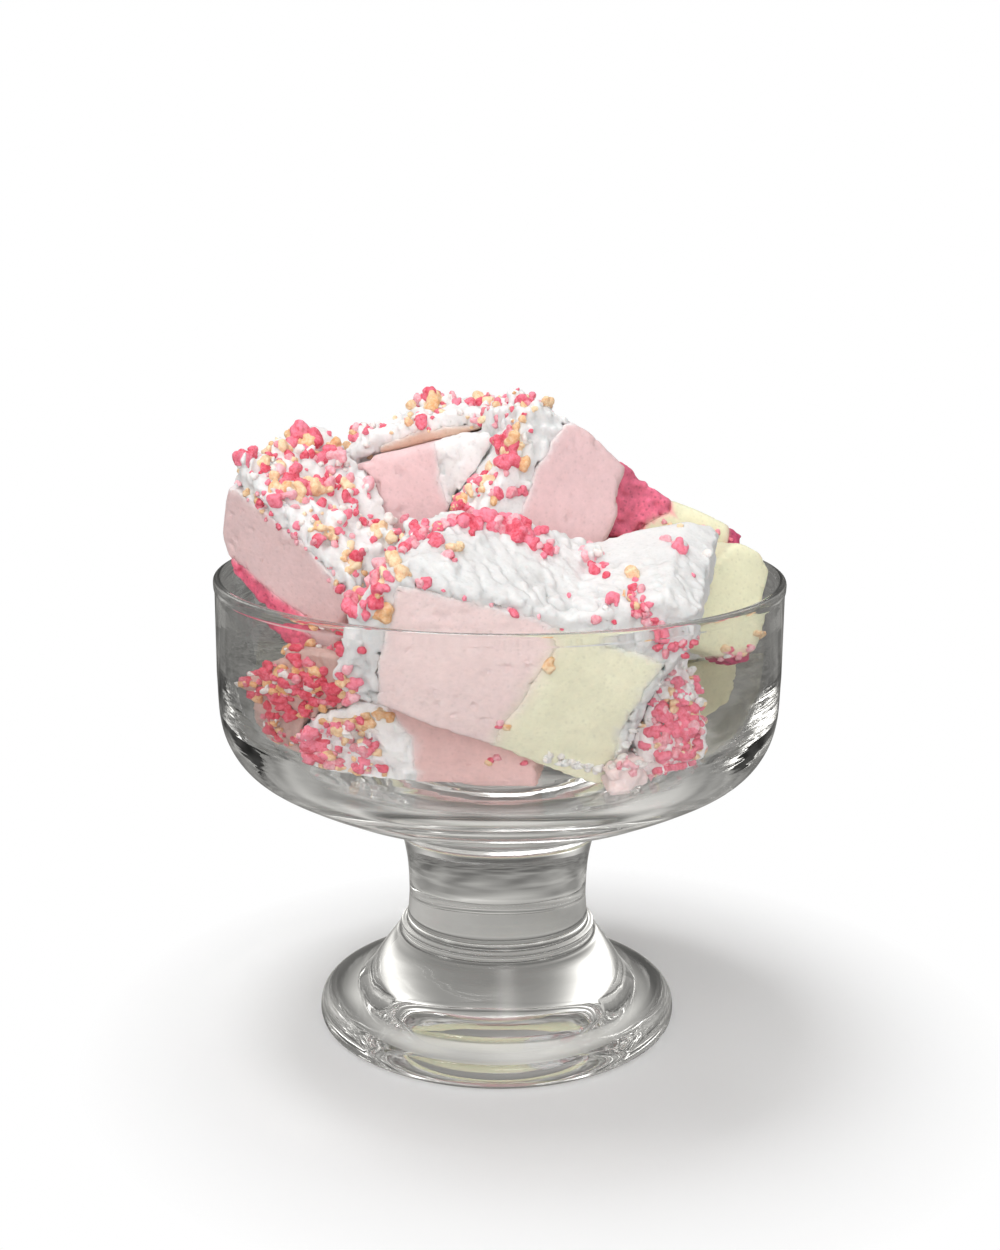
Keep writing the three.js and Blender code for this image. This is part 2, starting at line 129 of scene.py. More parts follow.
CRUMB_KINDS = {
    "pink": ((0.98, 0.57, 0.65), (0.86, 0.27, 0.35)),
    "rose": ((0.98, 0.77, 0.80), (0.90, 0.46, 0.53)),
    "tan": ((0.98, 0.88, 0.74), (0.90, 0.67, 0.45)),
    "foam": ((0.96, 0.95, 0.94), (0.90, 0.87, 0.85)),
}


def kind_of(layer):
    """What a layer is made of: the wedge's end is fruit too."""
    return "berry" if layer == "end" else layer


def linear(colour):
    """The scene-linear values of an sRGB colour."""
    values = [c / 12.92 if c < 0.04045 else ((c + 0.055) / 1.055) ** 2.4 for c in colour]
    return np.array(values, np.float32)


# ---- noise ----
SPLINE_GAIN = 2.6      # the splines flatten the random values by about as much
CREASE = 2.2           # how narrow creases are


def noise(shape, voxel, cell, seed):
    """Smooth noise of about -1 to 1 on a grid: random values `cell` mm apart, joined by B-splines."""
    cells = [cell] * 3 if np.isscalar(cell) else cell
    rng = np.random.default_rng(seed)
    field = rng.uniform(-1, 1, [int(n * voxel / c) + 5 for n, c in zip(shape, cells)]).astype(np.float32)
    for axis in range(3):
        x = np.arange(shape[axis]) * voxel / cells[axis]
        i = np.floor(x).astype(int)
        f = (x - i).astype(np.float32)
        taps = [(1 - f) ** 3 / 6, (3 * f**3 - 6 * f**2 + 4) / 6,
                (-3 * f**3 + 3 * f**2 + 3 * f + 1) / 6, f**3 / 6]
        width = [1, 1, 1]
        width[axis] = -1
        field = sum(np.take(field, i + k, axis=axis) * tap.reshape(width) for k, tap in enumerate(taps))
    return field * SPLINE_GAIN


def ridged(field):
    """Noise turned into sharp creases: 0 in the open, 1 along the creases."""
    return np.clip(1 - CREASE * np.abs(field), 0, 1)


def pits(field, level):
    """Noise turned into separate round pits: 0 outside them and 1 at their bottoms."""
    return np.clip((field - level) / (1 - level), 0, 1)


def blur(field):
    """Smooths a grid in place by one voxel."""
    for axis in range(3):
        view = np.moveaxis(field, axis, 0)
        view[1:-1] = (view[:-2] + 2 * view[1:-1] + view[2:]) / 4


# ---- relief of each layer: how far the surface lies below the plain one, in mm ----
def coat_relief(shape, voxel, seed):
    """Dried foam: soft billows with fine wrinkles that run upwards, crisper here than there."""
    billows = 0.25 * noise(shape, voxel, 4.5, seed)
    crisp = np.clip(0.95 + 0.5 * noise(shape, voxel, 9, seed + 3), 0.6, 1.3)
    wrinkles = 0.6 * ridged(noise(shape, voxel, (1.2, 1.4, 2.6), seed + 1))
    crumble = 0.28 * noise(shape, voxel, 0.78, seed + 2)
    return billows + crisp * (wrinkles + crumble)


def pink_relief(shape, voxel, seed):
    """A cut face of fine foam: almost flat, with small pores."""
    waves = 0.07 * noise(shape, voxel, 8, seed)
    grain = 0.03 * noise(shape, voxel, 1.0, seed + 1)
    pores = 0.3 * pits(noise(shape, voxel, 0.9, seed + 2), 0.8)
    return 0.05 + waves + grain + pores


def cream_relief(shape, voxel, seed):
    """Softer than the pink: shallow dents and a little grain."""
    dents = 0.34 * noise(shape, voxel, 9, seed) + 0.10 * noise(shape, voxel, 3.5, seed + 3)
    rough_places = np.clip(0.5 + noise(shape, voxel, 6, seed + 2), 0, 1.6)
    grain = 0.09 * noise(shape, voxel, 1.0, seed + 1) * rough_places
    return 0.08 + dents + grain


def pale_relief(shape, voxel, seed):
    """A broken side of ice cream, streaked from top to bottom."""
    streaks = 0.3 * ridged(noise(shape, voxel, (1.3, 1.3, 7), seed))
    grain = 0.1 * noise(shape, voxel, 1.0, seed + 1)
    return streaks + grain


def lump_relief(shape, voxel, seed):
    """A crumbling lump of foam."""
    creases = 0.7 * ridged(noise(shape, voxel, 2.2, seed))
    grain = 0.3 * noise(shape, voxel, 1.1, seed + 1)
    return creases + grain - 0.2


def berry_relief(shape, voxel, seed):
    """A ragged, porous fruit layer."""
    rags = 0.5 * ridged(noise(shape, voxel, 1.5, seed))
    pores = 0.5 * pits(noise(shape, voxel, 0.9, seed + 1), 0.3)
    return rags + pores + 0.15 * noise(shape, voxel, 3, seed + 2)


RELIEFS = {"coat": coat_relief, "pink": pink_relief, "cream": cream_relief, "berry": berry_relief}
NODE_RELIEFS = {"pale_cream": pale_relief, "lump_coat": lump_relief}
SMOOTH_LOBE = (26, -16, 92), 13   # the middle and radius of the smooth lobe of the front coat
LOBE_RELIEF = 0.3      # the share of the relief that is left there
LOBE_CORE = 0.6        # the share of the radius from which the relief comes back


# ---- fields and meshes ----
def node_mesh(node):
    """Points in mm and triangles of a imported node."""
    mesh = frame["nodes"][node].data
    points = np.empty(len(mesh.vertices) * 3, np.float32)
    mesh.vertices.foreach_get("co", points)
    mesh.calc_loop_triangles()
    triangles = np.empty(len(mesh.loop_triangles) * 3, np.int32)
    mesh.loop_triangles.foreach_get("vertices", triangles)
    return points.reshape(-1, 3) / MM, triangles.reshape(-1, 3).astype(np.uint32)


def distance(node, low, shape, voxel):
    """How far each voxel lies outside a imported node, in mm; inside it is negative."""
    points, triangles = node_mesh(node)
    transform = openvdb.createLinearTransform(voxelSize=voxel)
    grid = openvdb.FloatGrid.createLevelSetFromPolygons(
        points, triangles=triangles, transform=transform, halfWidth=BAND)
    field = np.empty(shape, np.float32)
    grid.copyToArray(field, ijk=low)
    return field


def meshed(grid, flatten):
    """The mesh of a grid's zero level, as points in mm and triangles that face outwards."""
    points, triangles, quads = grid.convertToPolygons(isovalue=0, adaptivity=flatten)
    quads = quads.astype(np.int64)
    triangles = np.vstack([triangles.astype(np.int64), quads[:, [0, 1, 2]], quads[:, [0, 2, 3]]])
    a, b, c = (points[triangles[:, k]] for k in range(3))
    if np.einsum("ij,ij->i", a, np.cross(b, c)).sum() < 0:
        triangles = triangles[:, ::-1]
    return points, triangles


def surface(field, low, voxel):
    """The skin round the part of a grid that is below zero, closed at the grid's sides."""
    field[[0, -1]] = voxel
    field[:, [0, -1]] = voxel
    field[:, :, [0, -1]] = voxel
    reach = BAND * voxel
    grid = openvdb.FloatGrid(reach)
    grid.copyFromArray(np.clip(field, -reach, reach), ijk=low)
    grid.transform = openvdb.createLinearTransform(voxelSize=voxel)
    return main_body(*meshed(grid, FLATTEN))


def main_body(points, triangles):
    """The largest connected body of a mesh, without the loose scraps."""
    label = np.arange(len(points))
    edges = np.concatenate([triangles[:, [0, 1]], triangles[:, [1, 2]]])
    while True:
        least = np.minimum(label[edges[:, 0]], label[edges[:, 1]])
        new = label.copy()
        np.minimum.at(new, label[edges[:, 0]], least)
        np.minimum.at(new, label[edges[:, 1]], least)
        new = new[new]
        if np.array_equal(new, label):
            break
        label = new
    names, counts = np.unique(label, return_counts=True)
    keep = label == names[np.argmax(counts)]
    new_index = np.cumsum(keep) - 1
    return points[keep], new_index[triangles[keep[triangles[:, 0]]]]


def sample(field, points, low, voxel):
    """The field's values at points, by trilinear interpolation."""
    at = points / voxel - np.array(low)
    i = np.clip(np.floor(at).astype(int), 0, np.array(field.shape) - 2)
    f = at - i
    total = np.zeros(len(points), np.float32)
    for corner in np.ndindex(2, 2, 2):
        share = np.prod([f[:, k] if corner[k] else 1 - f[:, k] for k in range(3)], axis=0)
        total += share * field[i[:, 0] + corner[0], i[:, 1] + corner[1], i[:, 2] + corner[2]]
    return total


def linked(name, data):
    """A new object in the scene."""
    obj = bpy.data.objects.new(name, data)
    bpy.context.scene.collection.objects.link(obj)
    return obj


def make_object(name, points, faces):
    """A smooth mesh from points in mm and lists of corners."""
    mesh = bpy.data.meshes.new(name)
    mesh.from_pydata((np.asarray(points) * MM).tolist(), [], faces)
    mesh.polygons.foreach_set("use_smooth", [True] * len(mesh.polygons))
    mesh.update()
    return linked(name, mesh)


def paint(obj, name, values):
    """Stores a number or a colour for each of the object's points."""
    new = obj.data.attributes.new
    if values.ndim == 1:
        new(name, "FLOAT", "POINT").data.foreach_set("value", values.astype(np.float32))
    else:
        rgba = np.ones((len(values), 4), np.float32)
        rgba[:, :3] = values
        new(name, "FLOAT_COLOR", "POINT").data.foreach_set("color", rgba.ravel())


# ---- materials ----
def new_material(name):
    material = bpy.data.materials.new(name)
    material.use_nodes = True
    nodes = material.node_tree.nodes
    return material, nodes, material.node_tree.links, nodes["Principled BSDF"]


def texture(nodes, links, kind, scale, squeeze=None, **inputs):
    """A texture node in the object's own coordinates, with features about 1 / `scale` metres wide."""
    place = nodes.get("Texture Coordinate") or nodes.new("ShaderNodeTexCoord")
    node = nodes.new(kind)
    source = place.outputs["Object"]
    if squeeze:
        mapping = nodes.new("ShaderNodeMapping")
        mapping.inputs["Scale"].default_value = squeeze
        links.new(source, mapping.inputs["Vector"])
        source = mapping.outputs["Vector"]
    links.new(source, node.inputs["Vector"])
    node.inputs["Scale"].default_value = scale
    for key, value in inputs.items():
        node.inputs[key].default_value = value
    return node


def mapped(nodes, links, output, low, high, to_low, to_high):
    """An output's values from low to high, spread from to_low to to_high."""
    node = nodes.new("ShaderNodeMapRange")
    links.new(output, node.inputs["Value"])
    for key, value in (("From Min", low), ("From Max", high), ("To Min", to_low), ("To Max", to_high)):
        node.inputs[key].default_value = value
    return node.outputs["Result"]


def multiplied(nodes, links, colour, factor):
    """A colour times a grey factor."""
    node = nodes.new("ShaderNodeMix")
    node.data_type = "RGBA"
    node.blend_type = "MULTIPLY"
    node.inputs["Factor"].default_value = 1
    links.new(colour, node.inputs["A"])
    links.new(factor, node.inputs["B"])
    return node.outputs["Result"]


def bumped(nodes, links, shader, heights, distance_mm):
    """Bump from one or more (output, strength) pairs, each on top of the last."""
    normal = None
    for output, strength in heights:
        bump = nodes.new("ShaderNodeBump")
        bump.inputs["Strength"].default_value = strength
        bump.inputs["Distance"].default_value = distance_mm * MM
        links.new(output, bump.inputs["Height"])
        if normal:
            links.new(normal, bump.inputs["Normal"])
        normal = bump.outputs["Normal"]
    links.new(normal, shader.inputs["Normal"])


def candy_material(kind, grain, blotches, pore_shade_level, scatter):
    """Dried ice cream: the painted tone, which holds painted shade in the relief's hollows, a fine grain,
    and pores smaller than the mesh can hold, painted darker as shade in them. `grain` and `blotches` say
    how strong fine and broad mottling is, and the pore level how light the painted shade in a pore is."""
    material, nodes, links, shader = new_material("candy_" + kind)
    tone = nodes.new("ShaderNodeAttribute")
    tone.attribute_name = "tone"
    fine = texture(nodes, links, "ShaderNodeTexNoise", 900, Detail=4.0, Roughness=0.65)
    pores = texture(nodes, links, "ShaderNodeTexVoronoi", 1100, Randomness=1.0)
    shade = mapped(nodes, links, fine.outputs["Fac"], 0.3, 0.7, 1 - grain, 1 + 0.3 * grain)
    # Painted shade: the insides of the pores are painted darker.
    pore_shade = mapped(nodes, links, pores.outputs["Distance"], 0.05, 0.35, pore_shade_level, 1)
    broad = texture(nodes, links, "ShaderNodeTexNoise", 260, Detail=2.0)
    cloud = mapped(nodes, links, broad.outputs["Fac"], 0.35, 0.65, 1 - blotches, 1 + 0.5 * blotches)
    colour = multiplied(nodes, links, tone.outputs["Color"], shade)
    colour = multiplied(nodes, links, colour, cloud)
    colour = multiplied(nodes, links, colour, pore_shade)
    links.new(colour, shader.inputs["Base Color"])
    shader.inputs["Roughness"].default_value = 0.85
    shader.inputs["Specular IOR Level"].default_value = 0.25
    shader.inputs["Subsurface Weight"].default_value = scatter
    shader.inputs["Subsurface Radius"].default_value = (1.0, 0.6, 0.5)
    shader.inputs["Subsurface Scale"].default_value = 1.2 * MM
    bumped(nodes, links, shader, [(fine.outputs["Fac"], 0.35), (pores.outputs["Distance"], 0.15)], 0.3)
    return material


def crumb_material(kind, light, dark):
    """Cake crumb: a shade for each crumb, its own but painted darker or lighter on chunks that lie in
    shade, and a rough open texture.
    """
    material, nodes, links, shader = new_material("crumb_" + kind)
    own = nodes.new("ShaderNodeAttribute")
    own.attribute_name = "shade"
    rough = texture(nodes, links, "ShaderNodeTexNoise", 1500, Detail=4.0, Roughness=0.7)
    mottle = mapped(nodes, links, rough.outputs["Fac"], 0.35, 0.65, -0.35, 0.35)
    total = nodes.new("ShaderNodeMath")
    total.operation = "ADD"
    links.new(own.outputs["Fac"], total.inputs[0])
    links.new(mottle, total.inputs[1])
    ramp = nodes.new("ShaderNodeValToRGB")
    ramp.color_ramp.elements[0].color = (*linear(dark), 1)
    ramp.color_ramp.elements[1].color = (*linear(light), 1)
    links.new(total.outputs["Value"], ramp.inputs["Fac"])
    links.new(ramp.outputs["Color"], shader.inputs["Base Color"])
    shader.inputs["Roughness"].default_value = 0.8
    shader.inputs["Subsurface Weight"].default_value = 0.15
    shader.inputs["Subsurface Radius"].default_value = (1.0, 0.5, 0.4)
    shader.inputs["Subsurface Scale"].default_value = 0.8 * MM
    bumped(nodes, links, shader, [(rough.outputs["Fac"], 0.6)], 0.4)
    return material


def glass_material():
    """Clear pressed glass with the faint waviness of its mould."""
    material, nodes, links, shader = new_material("pressed_glass")
    waves = texture(nodes, links, "ShaderNodeTexNoise", 45, Detail=1.0)
    rings = texture(nodes, links, "ShaderNodeTexNoise", 420, squeeze=(0.06, 0.06, 1), Detail=2.0)
    shader.inputs["Base Color"].default_value = (0.998, 0.998, 0.995, 1)
    shader.inputs["Roughness"].default_value = 0.0
    shader.inputs["IOR"].default_value = 1.5
    shader.inputs["Transmission Weight"].default_value = 1.0
    bumped(nodes, links, shader, [(waves.outputs["Fac"], 0.15), (rings.outputs["Fac"], 0.035)], 1.0)
    return material


# ---- the glass bowl ----
def sweep(keys, count):
    """Points along a Catmull-Rom curve through the keys."""
    keys = np.array(keys, float)
    padded = np.vstack([2 * keys[0] - keys[1], keys, 2 * keys[-1] - keys[-2]])
    points = []
    for t in np.linspace(0, len(keys) - 1, count):
        i = min(int(t), len(keys) - 2)
        f = t - i
        p0, p1, p2, p3 = padded[i:i + 4]
        points.append(0.5 * (2 * p1 + (p2 - p0) * f + (2 * p0 - 5 * p1 + 4 * p2 - p3) * f * f
                             + (3 * p1 - p0 - 3 * p2 + p3) * f**3))
    return points


def bowl_profile():
    """Half the bowl's section as (radius, height): up the outside from under the foot, and down inside."""
    underside = sweep([(0, 2.8), (14, 2.3), (26, 0.5)], 16) + [np.array([27.5, 0.0])]
    foot = sweep([(FOOT_RADIUS - 1.4, 0), (FOOT_RADIUS, 1.1), (FOOT_RADIUS + 0.2, 3), (33.4, 4.7),
                  (30.5, 5.8)], 24)
    dome = sweep([(27.4, 6.5), (24.9, 9.2), (22.7, 12.4), (20.4, 15.6), (19.3, 17.2)], 16)
    rings = sweep([(18.5, 18), (18.6, 19), (17.6, 19.6)], 8)
    stem = sweep([(STEM_RADIUS + 0.2, 21.8), (STEM_RADIUS, 26), (STEM_RADIUS + 0.5, 33), (19.2, 38.5),
                  (23.5, 41.9), (28.2, 44)], 28)
    under = sweep([(36, 46.6), (42.4, 49.8), (47.4, 53), (50.4, 57), (51.9, 62),
                   (RIM_RADIUS - 0.2, 70)], 28)
    bead = sweep([(RIM_RADIUS - 0.22, HEIGHT - BEAD), (RIM_RADIUS - 0.04, HEIGHT - BEAD + 0.5),
                  (RIM_RADIUS, HEIGHT - 0.6), (RIM_RADIUS - 0.3, HEIGHT - 0.12),
                  (RIM_RADIUS - 0.85, HEIGHT), (RIM_RADIUS - 1.4, HEIGHT - 0.2),
                  (RIM_RADIUS - 1.65, HEIGHT - 0.8), (RIM_RADIUS - 1.8, HEIGHT - BEAD)], 40)
    wall = RIM_RADIUS - WALL
    inside = sweep([(wall, HEIGHT - BEAD - 1.5), (wall - 0.5, FLOOR + 19), (48.6, FLOOR + 11),
                    (45, FLOOR + 5), (38.5, FLOOR + 1.3), (28, FLOOR + 0.1), (0, FLOOR)], 60)
    return underside + foot + dome + rings + stem + under + bead + inside


def glass_bowl():
    """The bowl, turned round its axis."""
    profile = bowl_profile()
    angles = np.arange(LATHE_STEPS) * 2 * math.pi / LATHE_STEPS
    points = [(0, 0, profile[0][1])]
    for r, z in profile[1:-1]:
        points += [(r * math.cos(a), r * math.sin(a), z) for a in angles]
    points.append((0, 0, profile[-1][1]))
    starts = [1 + ring * LATHE_STEPS for ring in range(len(profile) - 2)]
    faces = []
    for k in range(LATHE_STEPS):
        n = (k + 1) % LATHE_STEPS
        faces.append((0, starts[0] + n, starts[0] + k))
        for start, above in zip(starts, starts[1:]):
            faces.append((start + k, start + n, above + n, above + k))
        faces.append((starts[-1] + k, starts[-1] + n, len(points) - 1))
    obj = make_object("bowl", points, faces)
    obj.data.materials.append(glass_material())
    dress(obj, "glass", "glass_bowl")


def dress(obj, slot, *nodes):
    """Makes a piece move with the root and hides the solids that it stands for. `slot` is not used."""
    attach(obj, "root")
    if nodes:
        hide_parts(*nodes)


# ---- chunks ----
def chunk_layers():
    """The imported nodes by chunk: {"front": {"pink": "front_pink", ...}, ...}."""
    chunks = {}
    for node in sorted(frame["nodes"]):
        if node != "glass_bowl":
            chunk, layer = node.rsplit("_", 1)
            chunks.setdefault(chunk, {})[layer] = node
    return chunks


def layer_tones(chunk, layers, distances):
    """Colours of points from their distances to the layers: the ice creams run into each other over a
    millimetre or two, and the coat and the fruit end more sharply."""
    def share(a, b, width):
        return 1 / (1 + np.exp(np.clip((a - b) / width, -30, 30)))

    colour = None
    gap = None
    for layer in sorted(layers, key=LAYER_ORDER.index):
        # Some chunks' tones hold painted light and shade.
        tone = linear(CHUNK_TONES_AND_PAINTED_LIGHT.get(f"{chunk}_{layer}", TONES[kind_of(layer)]))
        if colour is None:
            colour = np.tile(tone, (len(distances[layer]), 1))
            gap = distances[layer]
            continue
        part = share(distances[layer], gap, BLEND.get(layer, BLEND_ELSEWHERE))[:, None]
        colour = colour * (1 - part) + tone * part
        gap = np.minimum(gap, distances[layer])
    return colour


def lobe_roughness(first, shape, voxel):
    """How much of the front coat's relief stays: all of it, but for the smooth lobe."""
    middle, radius = SMOOTH_LOBE
    axes = [(first[k] + np.arange(shape[k], dtype=np.float32)) * voxel - middle[k] for k in range(3)]
    x, y, z = np.meshgrid(*axes, indexing="ij", sparse=True)
    away = np.sqrt(x * x + y * y + z * z)
    return np.clip((away - radius * LOBE_CORE) / (radius * (1 - LOBE_CORE)), LOBE_RELIEF, 1)


def ragged(field, shape, voxel, seed):
    """A coat's distances with an uneven edge, so that it doesn't end in a straight line."""
    return field + 0.4 * noise(shape, voxel, 2.2, seed) + 0.22 * noise(shape, voxel, 0.9, seed + 1)


def chunk_pieces(chunk, layers, seed, materials):
    """Makes a chunk's pieces. Returns each one's points, triangles and outer level, for the crumbs."""
    voxel = VOXEL.get(chunk, VOXEL_ELSEWHERE) * 1
    boxes = [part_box(node) for node in layers.values()]
    low = np.min([b[0] for b in boxes], axis=0) / MM - MARGIN
    high = np.max([b[1] for b in boxes], axis=0) / MM + MARGIN
    first = tuple(int(x) for x in np.floor(low / voxel))
    shape = tuple(int(x) for x in np.ceil((high - low) / voxel) + 2)
    fields = {layer: distance(node, first, shape, voxel) for layer, node in layers.items()}

    near = [np.exp(-np.clip(field, -UNION_REACH, UNION_REACH) / UNION) for field in fields.values()]
    whole = -UNION * np.log(sum(near)) - CLOSE
    blur(whole)
    if "coat" in fields:
        fields["coat"] = ragged(fields["coat"], shape, voxel, seed + 40)
    reliefs = {}
    for i, (layer, node) in enumerate(layers.items()):
        relief = NODE_RELIEFS.get(node, RELIEFS[kind_of(layer)])
        reliefs[layer] = relief(shape, voxel, seed + 10 * i)
    if chunk == "front":
        reliefs["coat"] *= lobe_roughness(first, shape, voxel)
    pieces = {}
    for depth, layer in enumerate(sorted(layers, key=lambda name: name == "coat")):
        others = [field for name, field in fields.items() if name != layer]
        if others:
            side = (fields[layer] - np.minimum.reduce(others)) / 2
        else:
            side = np.full(shape, -OUTSIDE, np.float32)
        inwards = np.clip(EDGE_RELIEF - side / EDGE_FADE, 0, 1)
        outer = whole + reliefs[layer] * inwards + STEP_DOWN * depth
        points, triangles = surface(np.maximum(outer, side - LAP / 2), first, voxel)
        obj = make_object(f"{chunk}_{layer}_candy", points, triangles.tolist())
        gaps = {name: sample(field, points, first, voxel) for name, field in fields.items()}
        # Painted shade: points deep in the relief, in creases and pits, are painted darker.
        hollow = np.clip(sample(reliefs[layer], points, first, voxel), 0, DEEPEST)[:, None]
        paint(obj, "tone", layer_tones(chunk, layers, gaps) * (1 - PAINTED_HOLLOW_SHADE * hollow))
        obj.data.materials.append(materials[kind_of(layer)])
        dress(obj, kind_of(layer), layers[layer])
        pieces[layer] = (points, triangles, sample(outer, points, first, voxel))
    return pieces


# ---- crumbs ----
CRUMB_VOXEL = 0.33
CRUMB_BAND = 3         # half-width of the crumbs' distance grid, in voxels
CRUMB_ROUGHNESS = 0.27   # the depth of the crumbs' relief, in mm
# A larger crumb is a core with smaller grains round it, all as shares of the crumb's radius.
CORE_SIZE = 0.68
GRAIN_SIZES = (0.36, 0.56)
GRAIN_PLACES = (0.45, 0.68)
BLOCK_REACH = 1.45
GRAINS_PER_MM = 2.2    # how many more grains each mm of radius brings
SMALLEST_CLUSTER = 0.85   # crumbs of a smaller radius, in mm, are one grain
# Painted shade and light: the crumbs of the corner and centre chunks, which lie in shade, are painted
# darker, and those of the standing chunk, also in shade, lighter.
CRUMB_SHADE_AND_PAINTED_LIGHT = {"corner": (0.0, 0.4), "centre": (0.0, 0.5), "standing": (0.6, 1.0)}
SHADES_ELSEWHERE = (0.25, 1.0)
# Shares of pink, rose, tan and foam among a coat's fused crumbs, and among the small ones round them.
FUSED_SHARES = (0.5, 0.17, 0.33, 0)
SMALL_SHARES = (0.42, 0.20, 0.20, 0.18)
SMALL_CRUMBS = {"front": 60, "left": 200, "upper": 130, "middle": 60, "back": 150, "lower": 110,
                "corner": 240, "standing": 200, "centre": 40, "rear": 80, "rear_top": 80,
                "rear_left": 70, "rear_right": 70, "rear_base": 20}
CRUMB_REACH = 4.0      # how far small crumbs lie from the large ones, in mm
FUSED_EDGES = 1.1, 3.1     # lengths in mm of the edges at a free corner of a fused crumb
FUSED_UNEVEN = 1.5     # the most that the longest of them can be, over the shortest
FUSED_RADII = 1.0, 3.2     # radii in mm of fused crumbs
FUSED_GROWTH = 1.05    # how much larger they are made
SMALL_RADII = 0.35, 1.5    # radii in mm of the small crumbs
SMALL_BIAS = 2.2       # the higher, the more of them are near the lower radius
# As shares of a crumb's radius: how high its middle lies above the skin, and how near other chunks are.
SMALL_RISE = 0.15
STREAK_RISE = 0.1
OTHERS_CLEAR = 0.6
NEIGHBOURHOOD = 6.0    # how far round a crumb other solids are looked for, in mm
PICTURE = 1000, 1250   # the photograph's width and height, in pixels
STREAK_SPREAD = 0.6    # the standard deviation across a streak, as a share of its half-width
SKIN = 0.12            # points nearer than this to a piece's outer level are on its skin, in mm

# Crumbs where the photograph shows them: the chunk, a line across the picture, its half-width in pixels,
# how many crumbs, their radii in mm, and the shares of pink, rose, tan and foam.
STREAKS = [
    ("front", [(400, 546), (374, 584), (352, 622), (340, 662), (346, 698)], 13, 62,
     (0.7, 1.9), (0.55, 0.15, 0.3, 0)),
    ("front", [(400, 546), (430, 529), (452, 522)], 7, 24, (0.6, 1.4), (0.6, 0.3, 0.1, 0)),
    ("front", [(452, 522), (490, 519), (520, 530), (552, 552)], 8, 66, (0.7, 1.7), (0.8, 0.2, 0, 0)),
    ("front", [(434, 540), (441, 548)], 5, 6, (0.9, 1.6), (0.9, 0.1, 0, 0)),
    ("front", [(590, 566), (612, 570)], 6, 8, (0.8, 1.5), (0.8, 0.2, 0, 0)),
    ("front", [(630, 574), (632, 575)], 1, 2, (1.4, 1.8), (0, 0, 1, 0)),
    ("front", [(628, 590), (640, 610), (662, 642)], 11, 34, (0.4, 1.1), (0.55, 0.35, 0.1, 0)),
    ("front", [(660, 646), (690, 640)], 9, 8, (0.35, 0.8), (0.5, 0.4, 0.1, 0)),
    ("front", [(384, 611), (386, 613)], 1, 2, (2.0, 2.3), (0, 0, 1, 0)),
    ("front", [(420, 583), (422, 585)], 2, 2, (0.8, 1.2), (0.8, 0.2, 0, 0)),
    ("front", [(514, 613), (515, 614)], 1, 1, (1.0, 1.1), (1, 0, 0, 0)),
    ("front", [(546, 656), (547, 663)], 2, 3, (0.9, 1.3), (0, 0, 1, 0)),
    ("front", [(507, 724), (508, 729)], 1, 2, (0.7, 0.9), (0, 0, 1, 0)),
    ("front", [(499, 720), (500, 725)], 1, 2, (0.5, 0.7), (0.5, 0.5, 0, 0)),
    ("upper", [(476, 440), (462, 478), (452, 512)], 9, 40, (0.8, 1.8), (0.45, 0.15, 0.4, 0)),
    ("upper", [(500, 432), (512, 462)], 10, 20, (1.0, 1.9), (0.75, 0.1, 0.15, 0)),
    ("left", [(240, 438), (285, 432), (320, 446)], 9, 34, (0.9, 2.1), (0.55, 0.1, 0.35, 0)),
    ("left", [(270, 470), (310, 490), (345, 480)], 14, 46, (0.7, 1.9), (0.45, 0.15, 0.4, 0)),
    ("left", [(300, 515), (335, 545)], 12, 14, (0.5, 1.2), (0.3, 0.3, 0.4, 0)),
    ("back", [(420, 405), (470, 395), (520, 400), (575, 412)], 8, 44, (0.9, 1.9), (0.45, 0.1, 0.45, 0)),
    ("lower", [(300, 740), (318, 770), (350, 785)], 12, 24, (0.8, 1.9), (0.7, 0.1, 0.2, 0)),
    ("lower", [(330, 728), (365, 722), (400, 716)], 8, 20, (0.7, 1.6), (0.2, 0.1, 0.7, 0)),
    ("corner", [(262, 690), (300, 660), (330, 690), (300, 720)], 22, 70, (0.7, 1.6), (0.55, 0.15, 0.3, 0)),
    ("standing", [(665, 690), (680, 740), (690, 780)], 18, 66, (0.7, 1.6), (0.68, 0.22, 0.1, 0)),
    ("pale", [(640, 660), (668, 650)], 8, 6, (0.6, 1.2), (0.5, 0.2, 0.3, 0)),
    ("front", [(706, 628), (668, 672), (640, 716), (622, 760), (606, 800)], 4, 30,
     (0.3, 0.7), (0, 0.05, 0, 0.95)),
    ("front", [(545, 762), (580, 775), (606, 782)], 4, 34, (0.4, 1.1), (0, 0, 0, 1)),
    ("front", [(412, 592), (470, 600), (530, 618), (570, 632)], 6, 6, (0.3, 0.5), (0.4, 0.6, 0, 0)),
    ("left", [(236, 487), (276, 521), (315, 558), (338, 580), (346, 612)], 4, 22,
     (0.35, 0.8), (0.25, 0.35, 0.25, 0.15)),
    ("lump", [(620, 770), (635, 780)], 8, 14, (0.5, 1.2), (0, 0.3, 0, 0.7)),
    ("right", [(720, 640), (738, 645), (760, 615)], 5, 16, (0.4, 0.9), (0.3, 0.3, 0.2, 0.2)),
    ("wedge", [(660, 520), (700, 530), (735, 545)], 5, 16, (0.4, 0.8), (0.2, 0.4, 0.4, 0)),
    ("lower", [(480, 770), (500, 762), (530, 780)], 5, 4, (0.4, 1.0), (0.6, 0.3, 0.1, 0)),
]


